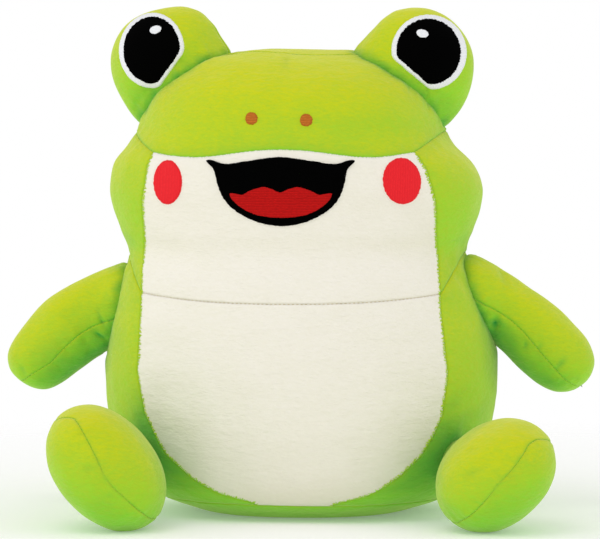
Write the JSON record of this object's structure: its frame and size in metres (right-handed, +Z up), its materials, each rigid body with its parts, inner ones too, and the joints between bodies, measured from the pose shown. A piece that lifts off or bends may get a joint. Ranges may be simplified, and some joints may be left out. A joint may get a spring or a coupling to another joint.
{
  "type": "plush frog toy",
  "caption": "Seated plush frog with raised eye mounds, stubby arms and round feet, sewn from short-pile panels over fibre filling, with an embroidered face.",
  "frame": {"origin": "middle of the flat seat, on the surface that the toy sits on", "axes": "+X to the picture's right; -Y is the way that the frog faces; +Z up. Left and right in the names are as seen from its front"},
  "size_m": [0.3365, 0.2278, 0.287],
  "materials": {
    "velboa_green": "short-pile plush in yellow-green, matt with a soft edge sheen",
    "velboa_white": "short-pile plush in warm off-white, matt with a soft edge sheen",
    "fibre_fill": "loose polyester fibre, hidden inside",
    "thread_black": "dense machine embroidery in black thread, low lustre",
    "thread_white": "dense machine embroidery in white thread, low lustre",
    "thread_red": "dense machine embroidery in red thread, low lustre",
    "thread_brown": "dense machine embroidery in light brown thread, low lustre"
  },
  "bodies": {
    "torso": {"body_stuffing": "fibre_fill", "head_stuffing": "fibre_fill", "seat_panel": "velboa_green", "brow_panel": "velboa_green", "head_back_panel": "velboa_green", "side_panel_left": "velboa_green", "side_panel_right": "velboa_green", "cheek_panel_left": "velboa_green", "cheek_panel_right": "velboa_green", "back_panel_left": "velboa_green", "back_panel_right": "velboa_green", "belly_panel": "velboa_white", "face_panel": "velboa_white", "eye_mound_left_front_panel": "velboa_green", "eye_mound_left_rear_panel": "velboa_green", "eye_mound_right_front_panel": "velboa_green", "eye_mound_right_rear_panel": "velboa_green", "eye_mound_left_stuffing": "fibre_fill", "eye_mound_right_stuffing": "fibre_fill", "eye_rim_left": "thread_white", "eye_rim_right": "thread_white", "eye_pupil_left": "thread_black", "eye_pupil_right": "thread_black", "eye_highlight_left": "thread_white", "eye_highlight_right": "thread_white", "nostril_left": "thread_brown", "nostril_right": "thread_brown", "blush_left": "thread_red", "blush_right": "thread_red", "mouth": "thread_black", "tongue": "thread_red"},
    "arm_left": {"arm_left_upper_panel": "velboa_green", "arm_left_lower_panel": "velboa_green", "arm_left_stuffing": "fibre_fill"},
    "arm_right": {"arm_right_upper_panel": "velboa_green", "arm_right_lower_panel": "velboa_green", "arm_right_stuffing": "fibre_fill"},
    "leg_left": {"leg_left_inner_panel": "velboa_green", "leg_left_outer_panel": "velboa_green", "leg_left_stuffing": "fibre_fill"},
    "leg_right": {"leg_right_inner_panel": "velboa_green", "leg_right_outer_panel": "velboa_green", "leg_right_stuffing": "fibre_fill"}
  },
  "joints": [
    {"name": "arm_left_swing", "type": "hinge", "parent": "torso", "child": "arm_left", "pos_m": [-0.11068, -0.006, 0.1176], "axis": [0, 1, 0], "range_deg": [-6, 30], "stiffness_Nm_per_rad": 0.15},
    {"name": "arm_right_swing", "type": "hinge", "parent": "torso", "child": "arm_right", "pos_m": [0.10452, -0.006, 0.1176], "axis": [0, -1, 0], "range_deg": [-6, 30], "stiffness_Nm_per_rad": 0.15},
    {"name": "leg_left_lift", "type": "hinge", "parent": "torso", "child": "leg_left", "pos_m": [-0.08794, -0.07097, 0.037], "axis": [-1, 0, 0], "range_deg": [0, 20], "stiffness_Nm_per_rad": 0.15},
    {"name": "leg_right_lift", "type": "hinge", "parent": "torso", "child": "leg_right", "pos_m": [0.086, -0.07097, 0.037], "axis": [-1, 0, 0], "range_deg": [0, 20], "stiffness_Nm_per_rad": 0.15}
  ]
}
